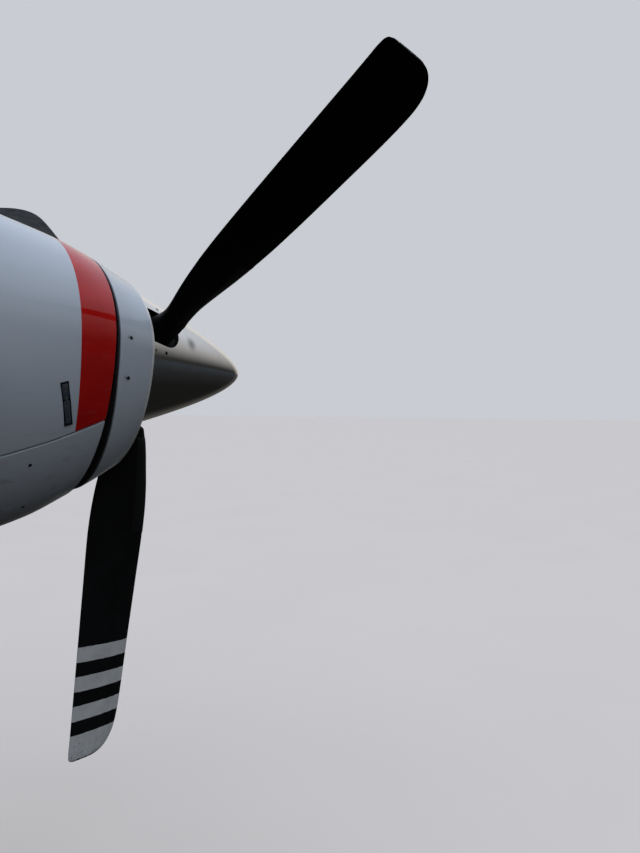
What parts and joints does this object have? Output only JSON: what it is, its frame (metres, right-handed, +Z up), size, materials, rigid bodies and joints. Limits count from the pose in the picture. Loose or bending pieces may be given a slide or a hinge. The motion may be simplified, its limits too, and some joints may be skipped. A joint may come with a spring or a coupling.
{
  "type": "turboprop engine nacelle with three-bladed propeller",
  "caption": "Front of an airliner's turboprop nacelle: cowls with hinged doors, nose ring with chin intake, side exhausts, spinner and wide feathering propeller blades.",
  "frame": {"origin": "on the thrust line, at the aft face of the firewall", "axes": "+X forward along the thrust line, +Y to port, +Z up"},
  "size_m": [2.368, 2.1684, 1.9616],
  "materials": {
    "white_paint": "gloss white aircraft enamel with a red band at the front",
    "seal_rubber": "weathered black rubber",
    "primed_frame": "matt green primer",
    "cooler_alloy": "plain mill finish",
    "engine_case": "grey cast and machined case",
    "heated_steel": "heat-tinted steel with soot at the mouth",
    "mount_steel": "satin steel",
    "latch_steel": "dull dark steel",
    "spinner_alloy": "polished, lightly worn",
    "blade_black": "matt black with white stripes near the tip"
  },
  "bodies": {
    "nacelle": {"nose_ring": "white_paint", "nose_seal": "seal_rubber", "nose_frame": "primed_frame", "cowl_spine": "white_paint", "cowl_lower": "white_paint", "intake_duct": "primed_frame", "oil_cooler": "cooler_alloy", "engine_block": "engine_case", "exhaust_right": "heated_steel", "exhaust_left": "heated_steel", "engine_mount": "mount_steel", "firewall": "mount_steel"},
    "door_right": {"cowl_door_right": "white_paint", "latch_right_1": "latch_steel", "latch_right_2": "latch_steel", "latch_right_3": "latch_steel"},
    "door_left": {"cowl_door_left": "white_paint", "latch_left_1": "latch_steel", "latch_left_2": "latch_steel", "latch_left_3": "latch_steel"},
    "propeller": {"spinner_dome": "spinner_alloy", "spinner_backplate": "cooler_alloy", "propeller_hub": "mount_steel", "propeller_shaft": "mount_steel"},
    "blade_upper_right": {"blade_1": "blade_black"},
    "blade_lower": {"blade_2": "blade_black"},
    "blade_upper_left": {"blade_3": "blade_black"}
  },
  "joints": [
    {"name": "propeller_spin", "type": "hinge", "parent": "nacelle", "child": "propeller", "pos_m": [1.95, 0, 0], "axis": [1, 0, 0], "continuous": true},
    {"name": "blade_pitch_1", "type": "hinge", "parent": "propeller", "child": "blade_upper_right", "pos_m": [1.95, 0, 0], "axis": [0, 0.9052, -0.425], "range_deg": [0, 95]},
    {"name": "blade_pitch_2", "type": "hinge", "parent": "propeller", "child": "blade_lower", "pos_m": [1.95, 0, 0], "axis": [0, -0.0845, 0.9964], "range_deg": [0, 95]},
    {"name": "blade_pitch_3", "type": "hinge", "parent": "propeller", "child": "blade_upper_left", "pos_m": [1.95, 0, 0], "axis": [0, -0.8207, -0.5714], "range_deg": [0, 95]},
    {"name": "door_right_hinge", "type": "hinge", "parent": "nacelle", "child": "door_right", "pos_m": [0.75, -0.0525, 0.36726], "axis": [-1, 0, 0], "range_deg": [0, 80]},
    {"name": "door_left_hinge", "type": "hinge", "parent": "nacelle", "child": "door_left", "pos_m": [0.75, 0.0525, 0.36726], "axis": [1, 0, 0], "range_deg": [0, 80]}
  ],
  "couplings": [
    {"joint": "blade_pitch_2", "follows": "blade_pitch_1", "ratio": 1},
    {"joint": "blade_pitch_3", "follows": "blade_pitch_1", "ratio": 1}
  ]
}
